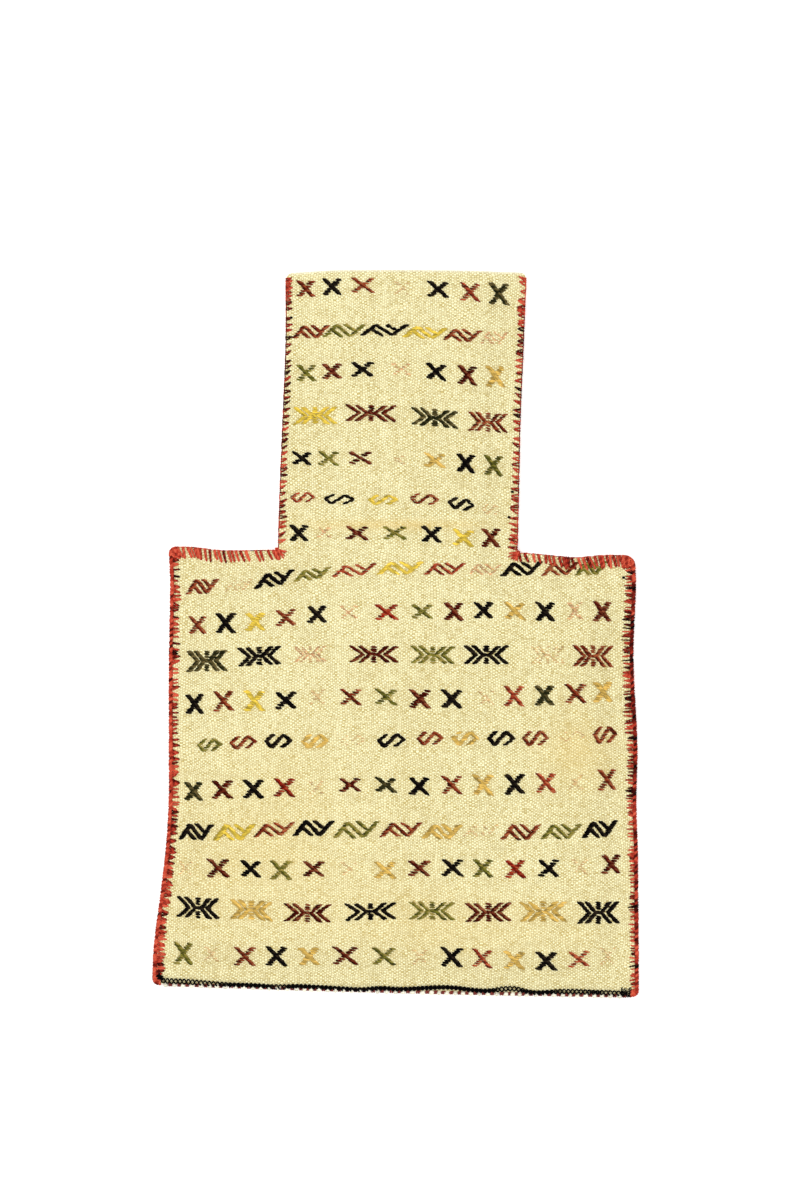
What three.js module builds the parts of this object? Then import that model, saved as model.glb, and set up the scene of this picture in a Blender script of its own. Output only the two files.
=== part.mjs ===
// Flat-woven wool salt bag lying on its back: a wide pouch under a narrow neck that is open at the top.
// Two woven panels meet in a flat margin along every sewn edge, where overcast wool wraps round both.
// Inside the margins the front panel stands clear of the back panel, so the bag is hollow to its mouth.
// Millimetres: +X to the right of the face, +Y towards the mouth, +Z out of the face.

import * as THREE from 'three';

const { lerp, smoothstep, degToRad } = THREE.MathUtils;

// Driving dimensions
const panelWall = 1.4; // thickness of one woven panel
const panelGap = 1.3; // between the two panels where they are sewn together
const yarnWall = 1.2; // thickness of the wool wrapped round an edge
const fit = 0.3; // gap between neighbouring pieces
const margin = 10.5; // flat strip of both panels inside a sewn edge
const slopeWidth = 30; // strip where the front panel rises from its margin
const cornerRadius = 6; // reach of the rounding at the bag's outer corners
const panelCornerPull = 1.5; // how far a panel's corner is drawn in, each way

// How far each stretch of wrapped wool covers the face, from the outer edge
const neckReach = 6.5;
const shoulderReach = 10;
const sideReach = 8;
const edgingReach = 2.4;
const bareLip = 4; // length of neck edge left unwrapped at the mouth

// Twined braid on the face, just inside the bottom edging
const braidWidth = 4.2;
const braidHeight = 2.4;
const braidSides = 8;

// Heights where the panels are sewn together, from the surface that the bag lies on
const backMargin = yarnWall + fit;
const frontMargin = backMargin + panelWall + panelGap;
const marginTop = frontMargin + panelWall;
const panelInset = yarnWall + fit; // from the outer edge to a panel's own edge

// Outer edges of the pouch and the neck, a row for each section up the bag.
// rise is how far the front panel stands above its margin there.
const pouchSections = [
  { y: -270, left: -180.9, right: 180.5, rise: 7 },
  { y: -231, left: -179.3, right: 180.4, rise: 7.4 },
  { y: -195, left: -174.7, right: 180.1, rise: 7.8 },
  { y: -160, left: -170.6, right: 179.8, rise: 8.1 },
  { y: -125, left: -168.4, right: 178.7, rise: 8.3 },
  { y: -85, left: -168.3, right: 179.5, rise: 8.5 },
  { y: -17, left: -168.2, right: 176.6, rise: 8.2 },
  { y: 36, left: -167.3, right: 178.4, rise: 7.7 },
  { y: 60, left: -168.2, right: 177.4, rise: 7.5 },
];
const neckSections = [
  { y: 60, left: -87.6, right: 90.7, rise: 7.5 },
  { y: 110, left: -86, right: 91.9, rise: 7 },
  { y: 160, left: -83.9, right: 93, rise: 6.5 },
  { y: 215, left: -81.8, right: 95.3, rise: 6.2 },
  { y: 270, left: -81.7, right: 97.5, rise: 6 },
];

// Edges that run across the bag, a row for each point where their course changes
const bottomEdge = [
  { x: -180.9, y: -261 },
  { x: 0, y: -266.5 },
  { x: 180.5, y: -270 },
];
const shoulderEdge = [
  { x: -168.2, y: 64.2 },
  { x: -152, y: 64.2 },
  { x: -128, y: 61.7 },
  { x: -87.6, y: 62 },
  { x: 90.7, y: 60 },
  { x: 134, y: 56.4 },
  { x: 152, y: 58 },
  { x: 177.4, y: 58 },
];
const mouthEdge = [
  { x: -81.7, y: 267 },
  { x: -45, y: 268.4 },
  { x: 15, y: 268.6 },
  { x: 97.5, y: 267.3 },
];

// Soft folds of the front panel: centre, turn from +X in degrees, half length, half width, lift
const folds = [
  { x: -95, y: -150, turn: 20, long: 90, wide: 26, lift: -1.3 },
  { x: 70, y: -195, turn: -12, long: 100, wide: 24, lift: 0.9 },
  { x: 115, y: -40, turn: 75, long: 90, wide: 26, lift: -1.3 },
  { x: 0, y: 42, turn: -3, long: 120, wide: 18, lift: -1.1 },
  { x: 25, y: 175, turn: 85, long: 80, wide: 22, lift: 0.7 },
];

// Shares of a strip's width or length where the panels' mesh has lines, closest where the face rises
const mirrored = (half) => [...half, ...half.slice(0, -1).reverse().map((share) => 1 - share)];
const flankLines = [0, 0.055, 0.13, 0.24, 0.36, 0.5, 0.72, 1];
const middleLines = mirrored([0, 0.03, 0.06, 0.11, 0.17, 0.23, 0.36, 0.5]);
const pouchLines = mirrored([0, 0.014, 0.032, 0.062, 0.092, 0.125, 0.21, 0.3, 0.4, 0.5]);
const neckLines = [0, 0.05, 0.1, 0.15, 0.2, 0.36, 0.52, 0.68, 0.84, 1];

// Spacing of the sections along a wrapped edge
const wrapStep = 18;
const cornerTipStep = 0.6;

// Smooth curve through a table: the value of column where key equals at.
function through(table, key, column, at) {
  const last = table.length - 1;
  const above = table.findIndex((row) => row[key] >= at);
  const end = above < 0 ? last : Math.max(above, 1);
  const start = end - 1;
  const slopeAt = (i) => {
    const before = table[Math.max(i - 1, 0)];
    const after = table[Math.min(i + 1, last)];
    return (after[column] - before[column]) / (after[key] - before[key]);
  };
  const span = table[end][key] - table[start][key];
  const t = Math.min(Math.max((at - table[start][key]) / span, 0), 1);
  const cubic = t * t * (3 - 2 * t);
  const bendStart = t * (1 - t) * (1 - t) * span * slopeAt(start);
  const bendEnd = t * t * (1 - t) * span * slopeAt(end);
  return lerp(table[start][column], table[end][column], cubic) + bendStart - bendEnd;
}

const bottomY = (x) => through(bottomEdge, 'x', 'y', x);
const shoulderY = (x) => through(shoulderEdge, 'x', 'y', x);
const mouthY = (x) => through(mouthEdge, 'x', 'y', x);
const pouchX = (side, y) => through(pouchSections, 'y', side, y);
const neckX = (side, y) => through(neckSections, 'y', side, y);

const neckFoot = neckSections[0];
const pouchFoot = pouchSections[0];
const mouthSection = neckSections[neckSections.length - 1];

// How open the bag is at a point: 0 in the sewn margins, 1 over the free middle.
function openness(x, y) {
  const free = (distance) => smoothstep(distance, margin, margin + slopeWidth);
  const below = shoulderY(x) - y;
  if (below < 0) {
    return free(x - neckX('left', y)) * free(neckX('right', y) - x);
  }
  const fromLeftShoulder = Math.hypot(Math.max(0, x - neckFoot.left), below);
  const fromRightShoulder = Math.hypot(Math.max(0, neckFoot.right - x), below);
  return (
    free(x - pouchX('left', y)) *
    free(pouchX('right', y) - x) *
    free(y - bottomY(x)) *
    free(fromLeftShoulder) *
    free(fromRightShoulder)
  );
}

// Lift of all the soft folds at a point.
function foldLift(x, y) {
  let lift = 0;
  for (const fold of folds) {
    const turn = degToRad(fold.turn);
    const along = (x - fold.x) * Math.cos(turn) + (y - fold.y) * Math.sin(turn);
    const across = (y - fold.y) * Math.cos(turn) - (x - fold.x) * Math.sin(turn);
    lift += fold.lift * Math.exp(-((along / fold.long) ** 2) - (across / fold.wide) ** 2);
  }
  return lift;
}

// Undersides of the two panels.
function frontUnderside(x, y) {
  const sections = y > neckFoot.y ? neckSections : pouchSections;
  const rise = through(sections, 'y', 'rise', y) + foldLift(x, y);
  return frontMargin + openness(x, y) * rise;
}
const backUnderside = (x, y) => backMargin * (1 - openness(x, y));

// Positions across a strip whose lines are shares of its width.
const spread = (lines, from, to) => lines.map((share) => lerp(from, to, share));

// Plan of a panel as rows of points, from the bottom edge up to the mouth.
// Rows of the pouch run over both flanks, and rows of the neck over the middle columns only.
function panelRows() {
  const neckLeft = neckFoot.left + panelInset;
  const neckRight = neckFoot.right - panelInset;
  const middle = spread(middleLines, neckLeft, neckRight);
  const pouchY = (x, share) => lerp(bottomY(x) + panelInset, shoulderY(x) - panelInset, share);
  const pouchRows = pouchLines.map((share) => {
    const edge = (side) => pouchX(side, pouchY(pouchX(side, 0), share));
    const left = spread(flankLines, edge('left') + panelInset, neckLeft);
    const right = spread(flankLines, edge('right') - panelInset, neckRight).reverse();
    return [...left, ...middle.slice(1, -1), ...right].map((x) => ({ x, y: pouchY(x, share) }));
  });
  const skipped = new Array(flankLines.length - 1).fill(null);
  const neckRows = neckLines.slice(1).map((share) => {
    const guide = lerp(neckFoot.y, mouthSection.y, share);
    const left = neckX('left', guide) + panelInset;
    const right = neckX('right', guide) - panelInset;
    const across = spread(middleLines, left, right).map((x) => ({
      x,
      y: lerp(shoulderY(x) - panelInset, mouthY(x), share),
    }));
    return [...skipped, ...across, ...skipped];
  });
  const top = pouchRows[pouchRows.length - 1];
  for (const [row, up] of [[pouchRows[0], 1], [top, -1]]) {
    row[0].x += panelCornerPull;
    row[0].y += up * panelCornerPull;
    row[row.length - 1].x -= panelCornerPull;
    row[row.length - 1].y += up * panelCornerPull;
  }
  return [...pouchRows, ...neckRows];
}

// Geometry from points and triangles, turned to face outwards.
function closedGeometry(points, triangles) {
  let volume = 0;
  for (const [a, b, c] of triangles) {
    volume += points[a].dot(points[b].clone().cross(points[c]));
  }
  const facing = volume > 0 ? triangles : triangles.map(([a, b, c]) => [a, c, b]);
  return new THREE.BufferGeometry().setFromPoints(points).setIndex(facing.flat());
}

// Woven panel of constant wall over the height function of its underside.
function panelGeometry(underside) {
  const rows = panelRows();
  const points = [];
  const triangles = [];
  const index = rows.map((row) =>
    row.map((place) => {
      if (!place) return null;
      const low = underside(place.x, place.y);
      points.push(new THREE.Vector3(place.x, place.y, low));
      points.push(new THREE.Vector3(place.x, place.y, low + panelWall));
      return points.length - 2;
    }),
  );
  const quad = (a, b, c, d) => triangles.push([a, b, c], [a, c, d]);
  const corners = (r, c) => {
    const found = [index[r]?.[c], index[r]?.[c + 1], index[r + 1]?.[c + 1], index[r + 1]?.[c]];
    return found.every(Number.isInteger) ? found : null;
  };
  const neighbours = [[-1, 0], [0, 1], [1, 0], [0, -1]];
  for (let r = 0; r + 1 < rows.length; r += 1) {
    for (let c = 0; c + 1 < rows[r].length; c += 1) {
      const cell = corners(r, c);
      if (!cell) continue;
      const [a, b, d, e] = cell;
      quad(a + 1, b + 1, d + 1, e + 1);
      quad(e, d, b, a);
      neighbours.forEach(([up, over], side) => {
        if (corners(r + up, c + over)) return;
        const from = cell[side];
        const to = cell[(side + 1) % 4];
        quad(from, to, to + 1, from + 1);
      });
    }
  }
  return closedGeometry(points, triangles);
}

// Stations of a wrapped edge are pairs of plan points: rim on the outer edge, tip at the end of its reach.
const station = (x, y, inX, inY, reach) => ({
  rim: new THREE.Vector2(x, y),
  tip: new THREE.Vector2(x + inX * reach, y + inY * reach),
});

// Evenly spaced positions from one end of a stretch to the other.
function stretch(from, to) {
  const count = Math.ceil(Math.abs(to - from) / wrapStep);
  return Array.from({ length: count + 1 }, (_, i) => lerp(from, to, i / count));
}

// Stations from a straight stretch into a rounded corner, up to the mitre that it shares with the next edge.
function cornerStations(corner, ownStart, otherStart, inward, along, reach) {
  const mitreGap = along.clone().multiplyScalar(-fit);
  const tip = corner.clone().addScaledVector(inward, reach).addScaledVector(along, -reach);
  return [0, 0.25, 0.5].map((t, i) => {
    const rim = ownStart.clone().multiplyScalar((1 - t) ** 2);
    rim.addScaledVector(corner, 2 * t * (1 - t)).addScaledVector(otherStart, t * t);
    const held = tip.clone().addScaledVector(along, (i - 2) * cornerTipStep);
    return { rim: rim.add(mitreGap), tip: held.add(mitreGap) };
  });
}

// Solid swept over stations: a section's depth runs from rim to tip, and its height is the bag's own.
function sweptGeometry(stations, reach, section) {
  const points = [];
  const triangles = [];
  const count = section.length;
  for (const { rim, tip } of stations) {
    for (const { depth, z } of section) {
      const place = rim.clone().lerp(tip, depth / reach);
      points.push(new THREE.Vector3(place.x, place.y, z));
    }
  }
  for (let s = 0; s + 1 < stations.length; s += 1) {
    for (let i = 0; i < count; i += 1) {
      const a = s * count + i;
      const b = s * count + ((i + 1) % count);
      triangles.push([a, b, b + count], [a, b + count, a + count]);
    }
  }
  const outline = section.map(({ depth, z }) => new THREE.Vector2(depth, z));
  const far = (stations.length - 1) * count;
  for (const [a, b, c] of THREE.ShapeUtils.triangulateShape(outline, [])) {
    const turned = THREE.ShapeUtils.isClockWise(outline) ? [a, b, c] : [a, c, b];
    triangles.push(turned, turned.map((corner) => corner + far).reverse());
  }
  return closedGeometry(points, triangles);
}

// Channel of wrapped wool: over the front panel, round the outer edge and under the back panel.
function wrapSection(reach) {
  const under = marginTop + fit;
  const top = under + yarnWall;
  const soft = yarnWall / 2;
  return [
    { depth: reach, z: under },
    { depth: reach - soft, z: top },
    { depth: 2 * soft, z: top },
    { depth: soft / 2, z: top - 2 * soft },
    { depth: 0, z: top / 2 },
    { depth: soft / 2, z: 2 * soft },
    { depth: 2 * soft, z: 0 },
    { depth: reach - soft, z: 0 },
    { depth: reach, z: yarnWall },
    { depth: yarnWall, z: yarnWall },
    { depth: yarnWall, z: under },
  ];
}

const wrapGeometry = (stations, reach) => sweptGeometry(stations, reach, wrapSection(reach));

// Outer corners of the pouch and the points where their rounding starts along each edge.
function pouchCorner(side, up) {
  const edgeY = up > 0 ? shoulderY : bottomY;
  const y = edgeY(pouchX(side, up > 0 ? neckFoot.y : pouchFoot.y));
  const x = pouchX(side, y);
  const inward = side === 'left' ? 1 : -1;
  const acrossX = x + inward * cornerRadius;
  const downY = y - up * cornerRadius;
  return {
    point: new THREE.Vector2(x, y),
    onCross: new THREE.Vector2(acrossX, edgeY(acrossX)),
    onSide: new THREE.Vector2(pouchX(side, downY), downY),
    inward,
  };
}

// Wrapped edge of the neck, from below the lip down to the shoulder.
function neckBinding(side) {
  const inward = side === 'left' ? 1 : -1;
  const start = mouthY(mouthSection[side]) - bareLip;
  const end = shoulderY(neckFoot[side]) + fit;
  const stations = stretch(start, end).map((y) => station(neckX(side, y), y, inward, 0, neckReach));
  return wrapGeometry(stations, neckReach);
}

// Wrapped edge of the shoulder, from the neck out to the rounded corner.
function shoulderBinding(side) {
  const { point, onCross, onSide, inward } = pouchCorner(side, 1);
  const start = neckFoot[side] - inward * fit;
  const end = point.x + inward * (shoulderReach + wrapStep / 4);
  const stations = stretch(start, end).map((x) => station(x, shoulderY(x), 0, -1, shoulderReach));
  const down = new THREE.Vector2(0, -1);
  const along = new THREE.Vector2(-inward, 0);
  stations.push(...cornerStations(point, onCross, onSide, down, along, shoulderReach));
  return wrapGeometry(stations, shoulderReach);
}

// Wrapped edge of the pouch's side, between its two rounded corners.
function sideBinding(side) {
  const upper = pouchCorner(side, 1);
  const lower = pouchCorner(side, -1);
  const over = new THREE.Vector2(upper.inward, 0);
  const up = new THREE.Vector2(0, 1);
  const down = new THREE.Vector2(0, -1);
  const clear = sideReach + wrapStep / 4;
  const { point: upperPoint, onSide: upperSide, onCross: upperCross } = upper;
  const { point: lowerPoint, onSide: lowerSide, onCross: lowerCross } = lower;
  const straight = stretch(upperPoint.y - clear, lowerPoint.y + clear);
  const stations = [
    ...cornerStations(upperPoint, upperSide, upperCross, over, up, sideReach).reverse(),
    ...straight.map((y) => station(pouchX(side, y), y, upper.inward, 0, sideReach)),
    ...cornerStations(lowerPoint, lowerSide, lowerCross, over, down, sideReach),
  ];
  return wrapGeometry(stations, sideReach);
}

// Wrapped edging along the bottom, between the two lower corners.
function bottomEdging() {
  const left = pouchCorner('left', -1);
  const right = pouchCorner('right', -1);
  const up = new THREE.Vector2(0, 1);
  const leftwards = new THREE.Vector2(-1, 0);
  const rightwards = new THREE.Vector2(1, 0);
  const straight = stretch(left.onCross.x + wrapStep / 4, right.onCross.x - wrapStep / 4);
  const { point: leftPoint, onCross: leftCross, onSide: leftSide } = left;
  const { point: rightPoint, onCross: rightCross, onSide: rightSide } = right;
  const stations = [
    ...cornerStations(leftPoint, leftCross, leftSide, up, leftwards, edgingReach).reverse(),
    ...straight.map((x) => station(x, bottomY(x), 0, 1, edgingReach)),
    ...cornerStations(rightPoint, rightCross, rightSide, up, rightwards, edgingReach),
  ];
  return wrapGeometry(stations, edgingReach);
}

// Braid on the margin of the face, between the side bindings.
function bottomBraid() {
  const depth = edgingReach + fit + braidWidth / 2;
  const z = marginTop + fit + braidHeight / 2;
  const clear = sideReach + fit;
  const edge = bottomY(0) + depth;
  const stations = stretch(pouchX('left', edge) + clear, pouchX('right', edge) - clear);
  const section = Array.from({ length: braidSides }, (_, i) => {
    const angle = (2 * Math.PI * (i + 0.5)) / braidSides;
    return {
      depth: depth + (braidWidth / 2) * Math.cos(angle),
      z: z + (braidHeight / 2) * Math.sin(angle),
    };
  });
  const placed = stations.map((x) => station(x, bottomY(x), 0, 1, depth));
  return sweptGeometry(placed, depth, section);
}

// Finishes
const wool = (colour) => new THREE.MeshStandardMaterial({ color: colour, roughness: 0.95, metalness: 0 });
const creamWool = wool(0xeadb9f);
const redWool = wool(0xb8392c);
const brickWool = wool(0xb98a78);
const blackWool = wool(0x17130f);

// Assembly
function piece(name, geometry, material) {
  const mesh = new THREE.Mesh(geometry, material);
  mesh.name = name;
  return mesh;
}

const panels = new THREE.Group();
panels.add(piece('front_panel', panelGeometry(frontUnderside), creamWool));
panels.add(piece('back_panel', panelGeometry(backUnderside), creamWool));

const bindings = new THREE.Group();
for (const side of ['left', 'right']) {
  bindings.add(piece(`neck_binding_${side}`, neckBinding(side), redWool));
  bindings.add(piece(`shoulder_binding_${side}`, shoulderBinding(side), redWool));
  bindings.add(piece(`side_binding_${side}`, sideBinding(side), redWool));
}

const bottom = new THREE.Group();
bottom.add(piece('bottom_edging', bottomEdging(), brickWool));
bottom.add(piece('bottom_braid', bottomBraid(), blackWool));

const saltBag = new THREE.Group();
saltBag.add(panels, bindings, bottom);

export default saltBag;
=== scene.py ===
# Flat-woven wool salt bag lying on its back: cream panels with rows of brocaded figures,
# red overcast edges, and a black twined braid over a whipped foot.
import math

import bpy
import numpy as np
from mathutils import Matrix, Vector


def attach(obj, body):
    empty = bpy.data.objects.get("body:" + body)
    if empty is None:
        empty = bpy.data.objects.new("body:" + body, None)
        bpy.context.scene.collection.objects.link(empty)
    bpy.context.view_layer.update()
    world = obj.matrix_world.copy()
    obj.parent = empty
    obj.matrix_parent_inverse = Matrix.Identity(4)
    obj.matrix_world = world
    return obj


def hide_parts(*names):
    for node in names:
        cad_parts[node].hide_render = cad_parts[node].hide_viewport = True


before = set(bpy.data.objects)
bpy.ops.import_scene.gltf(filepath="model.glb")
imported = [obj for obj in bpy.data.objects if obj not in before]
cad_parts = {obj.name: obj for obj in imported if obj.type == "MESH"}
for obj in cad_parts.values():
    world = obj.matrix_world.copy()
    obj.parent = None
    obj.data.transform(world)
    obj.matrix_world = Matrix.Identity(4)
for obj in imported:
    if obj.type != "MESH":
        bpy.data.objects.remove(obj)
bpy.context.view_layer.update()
print("frame loaded")

mm = 0.001  # shapes are worked out in millimetres and written in metres
fullTurn = 2 * math.pi

# The bag's own shape, as the frame has it
bag = dict(panelWall=1.4, yarnWall=1.2, fit=0.3, panelGap=1.3, margin=10.5, slopeWidth=30,
           cornerRadius=6, drawnCorner=9, bareLip=4)  # the right shoulder has drawn rounder
backMargin = bag["yarnWall"] + bag["fit"]
frontMargin = backMargin + bag["panelWall"] + bag["panelGap"]
pouchSections = dict(
    y=(-270, -231, -195, -160, -125, -85, -17, 36, 60),
    left=(-180.9, -179.3, -174.7, -170.6, -168.4, -168.3, -168.2, -167.3, -168.2),
    right=(180.5, 180.4, 180.1, 179.8, 178.7, 179.5, 176.6, 178.4, 177.4),
    rise=(7, 7.4, 7.8, 8.1, 8.3, 8.5, 8.2, 7.7, 7.5))
neckSections = dict(y=(60, 110, 160, 215, 270), left=(-87.6, -86, -83.9, -81.8, -81.7),
                    right=(90.7, 91.9, 93, 95.3, 97.5), rise=(7.5, 7, 6.5, 6.2, 6))
bottomEdge = dict(x=(-180.9, 0, 180.5), y=(-261, -266.5, -270))
shoulderEdge = dict(x=(-168.2, -152, -128, -87.6, 90.7, 134, 152, 177.4),
                    y=(64.2, 64.2, 61.7, 62, 60, 56.4, 58, 58))
mouthEdge = dict(x=(-81.7, -45, 15, 97.5), y=(267, 268.4, 268.6, 267.3))
folds = (
    dict(x=-95, y=-150, turn=20, long=90, wide=26, lift=-1.3),
    dict(x=70, y=-195, turn=-12, long=100, wide=24, lift=0.9),
    dict(x=115, y=-40, turn=75, long=90, wide=26, lift=-1.3),
    dict(x=0, y=42, turn=-3, long=120, wide=18, lift=-1.1),
    dict(x=25, y=175, turn=85, long=80, wide=22, lift=0.7),
)
# Ripples that the sewn edges pull into the face
puckers = dict(lift=0.45, wave=27, reach=11, start=17, drift=1.3, driftWave=41)


def through(table, key, column, at):  # smooth curve through a table
    keys = np.array(table[key], float)
    values = np.array(table[column], float)
    at = np.asarray(at, float)
    end = np.clip(np.searchsorted(keys, at), 1, len(keys) - 1)
    start = end - 1
    after = np.minimum(np.arange(len(keys)) + 1, len(keys) - 1)
    before = np.maximum(np.arange(len(keys)) - 1, 0)
    slopes = (values[after] - values[before]) / (keys[after] - keys[before])
    span = keys[end] - keys[start]
    t = np.clip((at - keys[start]) / span, 0, 1)
    straight = values[start] + (values[end] - values[start]) * t * t * (3 - 2 * t)
    return straight + span * t * (1 - t) * ((1 - t) * slopes[start] - t * slopes[end])


def bottomY(x):
    return through(bottomEdge, "x", "y", x)


def shoulderY(x):
    return through(shoulderEdge, "x", "y", x)


def mouthY(x):
    return through(mouthEdge, "x", "y", x)


def pouchX(side, y):
    return through(pouchSections, "y", side, y)


def neckX(side, y):
    return through(neckSections, "y", side, y)


def free(distance):  # 0 in a sewn margin, 1 past the slope inside it
    t = np.clip((distance - bag["margin"]) / bag["slopeWidth"], 0, 1)
    return t * t * (3 - 2 * t)


def openness(x, y):
    below = shoulderY(x) - y
    inNeck = free(x - neckX("left", y)) * free(neckX("right", y) - x)
    fromLeft = np.hypot(np.maximum(0, x - neckSections["left"][0]), below)
    fromRight = np.hypot(np.maximum(0, neckSections["right"][0] - x), below)
    inPouch = free(x - pouchX("left", y)) * free(pouchX("right", y) - x) * free(y - bottomY(x))
    return np.where(below < 0, inNeck, inPouch * free(fromLeft) * free(fromRight))


def foldLift(x, y):
    lift = 0
    for fold in folds:
        turn = math.radians(fold["turn"])
        along = (x - fold["x"]) * math.cos(turn) + (y - fold["y"]) * math.sin(turn)
        across = (y - fold["y"]) * math.cos(turn) - (x - fold["x"]) * math.sin(turn)
        lift = lift + fold["lift"] * np.exp(-((along / fold["long"]) ** 2) - (across / fold["wide"]) ** 2)
    return lift


def puckerLift(x, y):
    def ripple(distance, along, phase):
        near = np.exp(-(((distance - puckers["start"]) / puckers["reach"]) ** 2))
        drift = puckers["drift"] * np.sin(along / puckers["driftWave"] + phase)
        return near * np.sin(along * fullTurn / puckers["wave"] + drift + phase)

    inNeck = y > shoulderY(x)
    sides = ripple(x - pouchX("left", y), y, 0.4) + ripple(pouchX("right", y) - x, y, 2.1)
    neck = ripple(x - neckX("left", y), y, 1.2) + ripple(neckX("right", y) - x, y, 3.3)
    foot = ripple(y - bottomY(x), x, 4.6)
    return puckers["lift"] * (np.where(inNeck, neck, sides) + foot)


def frontTop(x, y):
    x = np.asarray(x, float)
    y = np.asarray(y, float)
    inNeck = y > neckSections["y"][0]
    rise = np.where(inNeck, through(neckSections, "y", "rise", y), through(pouchSections, "y", "rise", y))
    lift = rise + foldLift(x, y) + puckerLift(x, y)
    return frontMargin + bag["panelWall"] + openness(x, y) * lift


def backUnder(x, y):
    return backMargin * (1 - openness(np.asarray(x, float), np.asarray(y, float)))


def backTop(x, y):
    return backUnder(x, y) + bag["panelWall"]


class Wire:  # a node's socket that takes part in sums
    def __init__(self, net, socket):
        self.net = net
        self.socket = socket

    def maths(self, operation, *others):
        return self.net.add("ShaderNodeMath", dict(operation=operation), dict(enumerate((self, *others))))

    def reflected(self, operation, other):
        return self.net.add("ShaderNodeMath", dict(operation=operation), {0: other, 1: self})

    def __add__(self, other):
        return self.maths("ADD", other)

    def __sub__(self, other):
        return self.maths("SUBTRACT", other)

    def __mul__(self, other):
        return self.maths("MULTIPLY", other)

    def __truediv__(self, other):
        return self.maths("DIVIDE", other)

    def __pow__(self, other):
        return self.maths("POWER", other)

    def __radd__(self, other):
        return self.reflected("ADD", other)

    def __rsub__(self, other):
        return self.reflected("SUBTRACT", other)

    def __rmul__(self, other):
        return self.reflected("MULTIPLY", other)


class Net:  # a node tree written as expressions
    def __init__(self, tree):
        self.tree = tree

    def add(self, kind, settings=None, sockets=None, out=0):
        node = self.tree.nodes.new(kind)
        for name, value in (settings or {}).items():
            if name == "stops":
                self.setStops(node.color_ramp, value)
            else:
                setattr(node, name, value)
        for key, value in (sockets or {}).items():
            for each in value if isinstance(value, list) else [value]:
                if isinstance(each, Wire):
                    self.tree.links.new(each.socket, node.inputs[key])
                else:
                    node.inputs[key].default_value = each
        return Wire(self, node.outputs[out]) if len(node.outputs) else node

    def setStops(self, ramp, stops):
        while len(ramp.elements) < len(stops):
            ramp.elements.new(1)
        for element, (position, colour) in zip(ramp.elements, stops):
            element.position = position
            element.color = (*colour, 1)

    def inputs(self, sockets):  # the tree's named inputs, and the node that gives them
        for name, (kind, value) in sockets.items():
            socket = self.tree.interface.new_socket(name, in_out="INPUT", socket_type=kind)
            if value is not None:
                socket.default_value = value
        node = self.tree.nodes.new("NodeGroupInput")
        return {name: Wire(self, node.outputs[name]) for name in sockets}

    def result(self, geometry, material):
        self.tree.interface.new_socket("Geometry", in_out="OUTPUT", socket_type="NodeSocketGeometry")
        smooth = self.add("GeometryNodeSetShadeSmooth", sockets={"Geometry": geometry})
        real = self.add("GeometryNodeRealizeInstances", sockets={"Geometry": smooth})
        done = self.add("GeometryNodeSetMaterial", sockets={"Geometry": real, "Material": material})
        self.add("NodeGroupOutput", sockets={"Geometry": done})

    def parts(self, vector):  # the first two parts of a vector
        node = self.tree.nodes.new("ShaderNodeSeparateXYZ")
        self.tree.links.new(vector.socket, node.inputs[0])
        return Wire(self, node.outputs[0]), Wire(self, node.outputs[1])

    def named(self, name, kind="FLOAT"):  # an attribute in a geometry tree
        return self.add("GeometryNodeInputNamedAttribute", dict(data_type=kind), {"Name": name})

    def vectors(self, operation, first, second):
        return self.add("ShaderNodeVectorMath", dict(operation=operation), {0: first, 1: second})

    def scaled(self, vector, value):
        return self.add("ShaderNodeVectorMath", dict(operation="SCALE"), {0: vector, "Scale": value})

    def blend(self, factor, first, second):  # of two colours
        settings = dict(data_type="RGBA", blend_type="MIX")
        return self.add("ShaderNodeMix", settings, {0: factor, 6: first, 7: second}, out=2)

    def noise(self, vector, scale, detail):
        return self.add("ShaderNodeTexNoise", None, {"Vector": vector, "Scale": scale, "Detail": detail})

    def attribute(self, name):
        return self.add("ShaderNodeAttribute", dict(attribute_name=name), out="Fac")


# Finishes

def linear(red, green, blue):  # a colour as a screen shows it, 0 to 255, in the shader's own terms
    shares = np.array((red, green, blue)) / 255
    low = shares / 12.92
    high = ((shares + 0.055) / 1.055) ** 2.4
    return tuple(np.where(shares <= 0.04045, low, high))


def newFinish(name):
    finish = bpy.data.materials.new(name)
    finish.use_nodes = True
    finish.node_tree.nodes.clear()
    return finish, Net(finish.node_tree)


def woolSurface(net, colour, roughness, height, relief, sheen=0.05):  # matt wool over a bump
    bump = net.add("ShaderNodeBump", sockets={"Strength": 1.0, "Distance": relief, "Height": height})
    surface = net.add("ShaderNodeBsdfPrincipled", sockets={
        "Base Color": colour, "Roughness": roughness, "Normal": bump,
        "Sheen Weight": sheen, "Sheen Roughness": 0.6, "Specular IOR Level": sheen})
    net.add("ShaderNodeOutputMaterial", sockets={"Surface": surface})


groundLook = dict(
    rib=1.7, pick=1.12,  # pitch of the weave, across and up
    # gap is painted shade: the colour drawn into the weave's hollows between crossings
    pale=linear(255, 249, 201), deep=linear(197, 178, 112), gap=linear(144, 122, 69),
    stain=linear(222, 190, 112), hem=linear(255, 252, 236), hemShare=0.85,
    relief=0.36, roughness=0.92, crownGloss=0.08,
    ribDrift=5, pickDrift=6,  # how far the threads stray, in threads
    slubScale=650, clumpScale=160, wearScale=9,  # uneven spinning, dyeing and wear
    # weftShade is painted shade on the cells where the lower weft lies on top
    slubTone=1.1, clumpTone=0.5, wearTone=0.3, weftShade=0.55, spunTone=0.55, ribTone=0.14, paler=0.06,
    crown=0.8, flank=0.35, weftHeight=0.6, gapShadeDepth=2.3,  # how a thread bends over and under, and how the painted gap shade falls off with height
)
stains = (  # soft patches on the face
    dict(x=-4, y=80, wide=62, tall=4, depth=0.5),
    dict(x=133, y=-87, wide=26, tall=24, depth=0.3),
    dict(x=-95, y=-165, wide=85, tall=75, depth=0.24),
    dict(x=60, y=-215, wide=90, tall=30, depth=0.2),
)


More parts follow.
